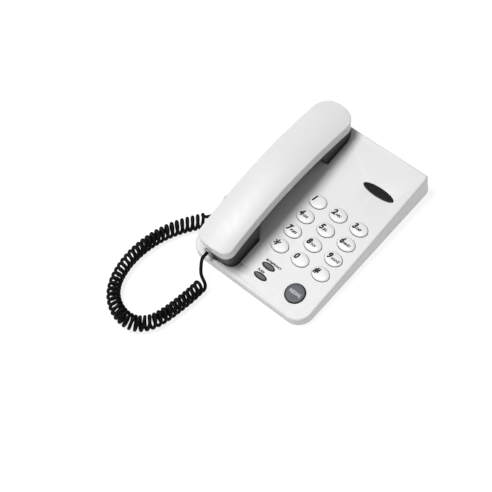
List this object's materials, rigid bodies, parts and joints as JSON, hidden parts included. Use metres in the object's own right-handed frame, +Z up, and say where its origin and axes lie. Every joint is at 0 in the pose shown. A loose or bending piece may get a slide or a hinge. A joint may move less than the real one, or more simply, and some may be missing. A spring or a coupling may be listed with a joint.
{
  "type": "corded landline phone",
  "caption": "Desk telephone with a white wedge-shaped base, oval push keys, redial button, smoked indicator and an arched handset on a black curly cord, lying across its left side.",
  "frame": {"origin": "centre of the base's footprint, on the desk, without the curly cord and its plugs", "axes": "+X to the user's right, +Y from the user's edge to the back edge, +Z up from the desk"},
  "size_m": [0.1807, 0.2869, 0.0555],
  "materials": {
    "housing_plastic": "satin moulded white, fine grain",
    "cover_plastic": "matt moulded off-white",
    "handset_grey_plastic": "satin moulded dark grey",
    "key_plastic": "satin white with printed black characters",
    "button_plastic": "satin slate grey",
    "foot_rubber": "matt black",
    "mat_silicone": "matt grey silicone",
    "lens_plastic": "smoked, glossy",
    "led_plastic": "tinted red, glossy",
    "screw_steel": "zinc plated",
    "board_laminate": "green solder resist on glass-fibre laminate",
    "component_plastic": "moulded black",
    "lever_plastic": "plain moulded grey",
    "jack_plastic": "moulded black",
    "plug_plastic": "clear moulded, seen as pale grey",
    "contact_brass": "bright",
    "weight_steel": "plain rolled",
    "speaker_metal": "plain pressed",
    "microphone_metal": "plain can",
    "earpiece_fabric": "woven black",
    "cord_vinyl": "soft black vinyl, slight sheen",
    "lead_vinyl": "plain insulation"
  },
  "bodies": {
    "base": {"base_top_housing": "housing_plastic", "base_bottom_cover": "cover_plastic", "rubber_feet": "foot_rubber", "base_screws": "screw_steel", "main_board": "board_laminate", "board_screws": "screw_steel", "board_parts": "component_plastic", "keypad_mat": "mat_silicone", "indicator_lens": "lens_plastic", "indicator_led": "led_plastic", "hook_pin": "screw_steel", "hook_spring": "screw_steel", "hook_switch": "component_plastic", "line_board": "board_laminate", "line_jack": "jack_plastic", "line_jack_contacts": "contact_brass", "ringer_switch_body": "component_plastic", "ringer_holder": "lever_plastic", "ringer_disc": "contact_brass", "ballast_plate": "weight_steel", "base_cord_jack": "jack_plastic", "base_cord_contacts": "contact_brass", "base_plug": "plug_plastic", "base_leads": "lead_vinyl", "curly_cord": "cord_vinyl"},
    "handset": {"handset_outer_shell": "housing_plastic", "handset_inner_shell": "handset_grey_plastic", "handset_screws": "screw_steel", "earpiece_cloth": "earpiece_fabric", "earpiece_speaker": "speaker_metal", "microphone_boot": "foot_rubber", "microphone": "microphone_metal", "handset_weight": "weight_steel", "handset_jack": "jack_plastic", "handset_jack_contacts": "contact_brass", "handset_plug": "plug_plastic", "handset_leads": "lead_vinyl"},
    "hook_lever": {"hook_lever": "lever_plastic"},
    "ringer_switch": {"ringer_switch_knob": "lever_plastic"},
    "key_1": {"key_1": "key_plastic"},
    "key_2": {"key_2": "key_plastic"},
    "key_3": {"key_3": "key_plastic"},
    "key_4": {"key_4": "key_plastic"},
    "key_5": {"key_5": "key_plastic"},
    "key_6": {"key_6": "key_plastic"},
    "key_7": {"key_7": "key_plastic"},
    "key_8": {"key_8": "key_plastic"},
    "key_9": {"key_9": "key_plastic"},
    "key_star": {"key_star": "key_plastic"},
    "key_0": {"key_0": "key_plastic"},
    "key_hash": {"key_hash": "key_plastic"},
    "redial_button": {"redial_button": "button_plastic"},
    "flash_button": {"flash_button": "button_plastic"},
    "mute_button": {"mute_button": "button_plastic"}
  },
  "joints": [
    {"name": "key_1_press", "type": "slide", "parent": "base", "child": "key_1", "axis": [0, 0.0847, -0.9964], "range_m": [0, 0.0012], "stiffness_N_per_m": 300, "springref_m": -0.0005, "deforming": ["keypad_mat"]},
    {"name": "key_2_press", "type": "slide", "parent": "base", "child": "key_2", "axis": [0, 0.0847, -0.9964], "range_m": [0, 0.0012], "stiffness_N_per_m": 300, "springref_m": -0.0005, "deforming": ["keypad_mat"]},
    {"name": "key_3_press", "type": "slide", "parent": "base", "child": "key_3", "axis": [0, 0.0847, -0.9964], "range_m": [0, 0.0012], "stiffness_N_per_m": 300, "springref_m": -0.0005, "deforming": ["keypad_mat"]},
    {"name": "key_4_press", "type": "slide", "parent": "base", "child": "key_4", "axis": [0, 0.0847, -0.9964], "range_m": [0, 0.0012], "stiffness_N_per_m": 300, "springref_m": -0.0005, "deforming": ["keypad_mat"]},
    {"name": "key_5_press", "type": "slide", "parent": "base", "child": "key_5", "axis": [0, 0.0847, -0.9964], "range_m": [0, 0.0012], "stiffness_N_per_m": 300, "springref_m": -0.0005, "deforming": ["keypad_mat"]},
    {"name": "key_6_press", "type": "slide", "parent": "base", "child": "key_6", "axis": [0, 0.0847, -0.9964], "range_m": [0, 0.0012], "stiffness_N_per_m": 300, "springref_m": -0.0005, "deforming": ["keypad_mat"]},
    {"name": "key_7_press", "type": "slide", "parent": "base", "child": "key_7", "axis": [0, 0.0847, -0.9964], "range_m": [0, 0.0012], "stiffness_N_per_m": 300, "springref_m": -0.0005, "deforming": ["keypad_mat"]},
    {"name": "key_8_press", "type": "slide", "parent": "base", "child": "key_8", "axis": [0, 0.0847, -0.9964], "range_m": [0, 0.0012], "stiffness_N_per_m": 300, "springref_m": -0.0005, "deforming": ["keypad_mat"]},
    {"name": "key_9_press", "type": "slide", "parent": "base", "child": "key_9", "axis": [0, 0.0847, -0.9964], "range_m": [0, 0.0012], "stiffness_N_per_m": 300, "springref_m": -0.0005, "deforming": ["keypad_mat"]},
    {"name": "key_star_press", "type": "slide", "parent": "base", "child": "key_star", "axis": [0, 0.0847, -0.9964], "range_m": [0, 0.0012], "stiffness_N_per_m": 300, "springref_m": -0.0005, "deforming": ["keypad_mat"]},
    {"name": "key_0_press", "type": "slide", "parent": "base", "child": "key_0", "axis": [0, 0.0847, -0.9964], "range_m": [0, 0.0012], "stiffness_N_per_m": 300, "springref_m": -0.0005, "deforming": ["keypad_mat"]},
    {"name": "key_hash_press", "type": "slide", "parent": "base", "child": "key_hash", "axis": [0, 0.0847, -0.9964], "range_m": [0, 0.0012], "stiffness_N_per_m": 300, "springref_m": -0.0005, "deforming": ["keypad_mat"]},
    {"name": "redial_button_press", "type": "slide", "parent": "base", "child": "redial_button", "axis": [0, 0.0847, -0.9964], "range_m": [0, 0.0012], "stiffness_N_per_m": 300, "springref_m": -0.0005, "deforming": ["keypad_mat"]},
    {"name": "flash_button_press", "type": "slide", "parent": "base", "child": "flash_button", "axis": [0, 0.0847, -0.9964], "range_m": [0, 0.0012], "stiffness_N_per_m": 300, "springref_m": -0.0005, "deforming": ["keypad_mat"]},
    {"name": "mute_button_press", "type": "slide", "parent": "base", "child": "mute_button", "axis": [0, 0.0847, -0.9964], "range_m": [0, 0.0012], "stiffness_N_per_m": 300, "springref_m": -0.0005, "deforming": ["keypad_mat"]},
    {"name": "handset_lift", "type": "slide", "parent": "base", "child": "handset", "axis": [0, 0, 1], "range_m": [0, 0.06]},
    {"name": "hook_lever_turn", "type": "hinge", "parent": "base", "child": "hook_lever", "pos_m": [-0.037, 0.08, 0.0117], "axis": [-1, 0, 0], "range_deg": [0, 6], "deforming": ["hook_spring"]},
    {"name": "ringer_switch_slide", "type": "slide", "parent": "base", "child": "ringer_switch", "axis": [1, 0, 0], "range_m": [-0.0025, 0.0025]}
  ],
  "couplings": [
    {"joint": "hook_lever_turn", "follows": "handset_lift", "rad_per_m": 1.7}
  ]
}
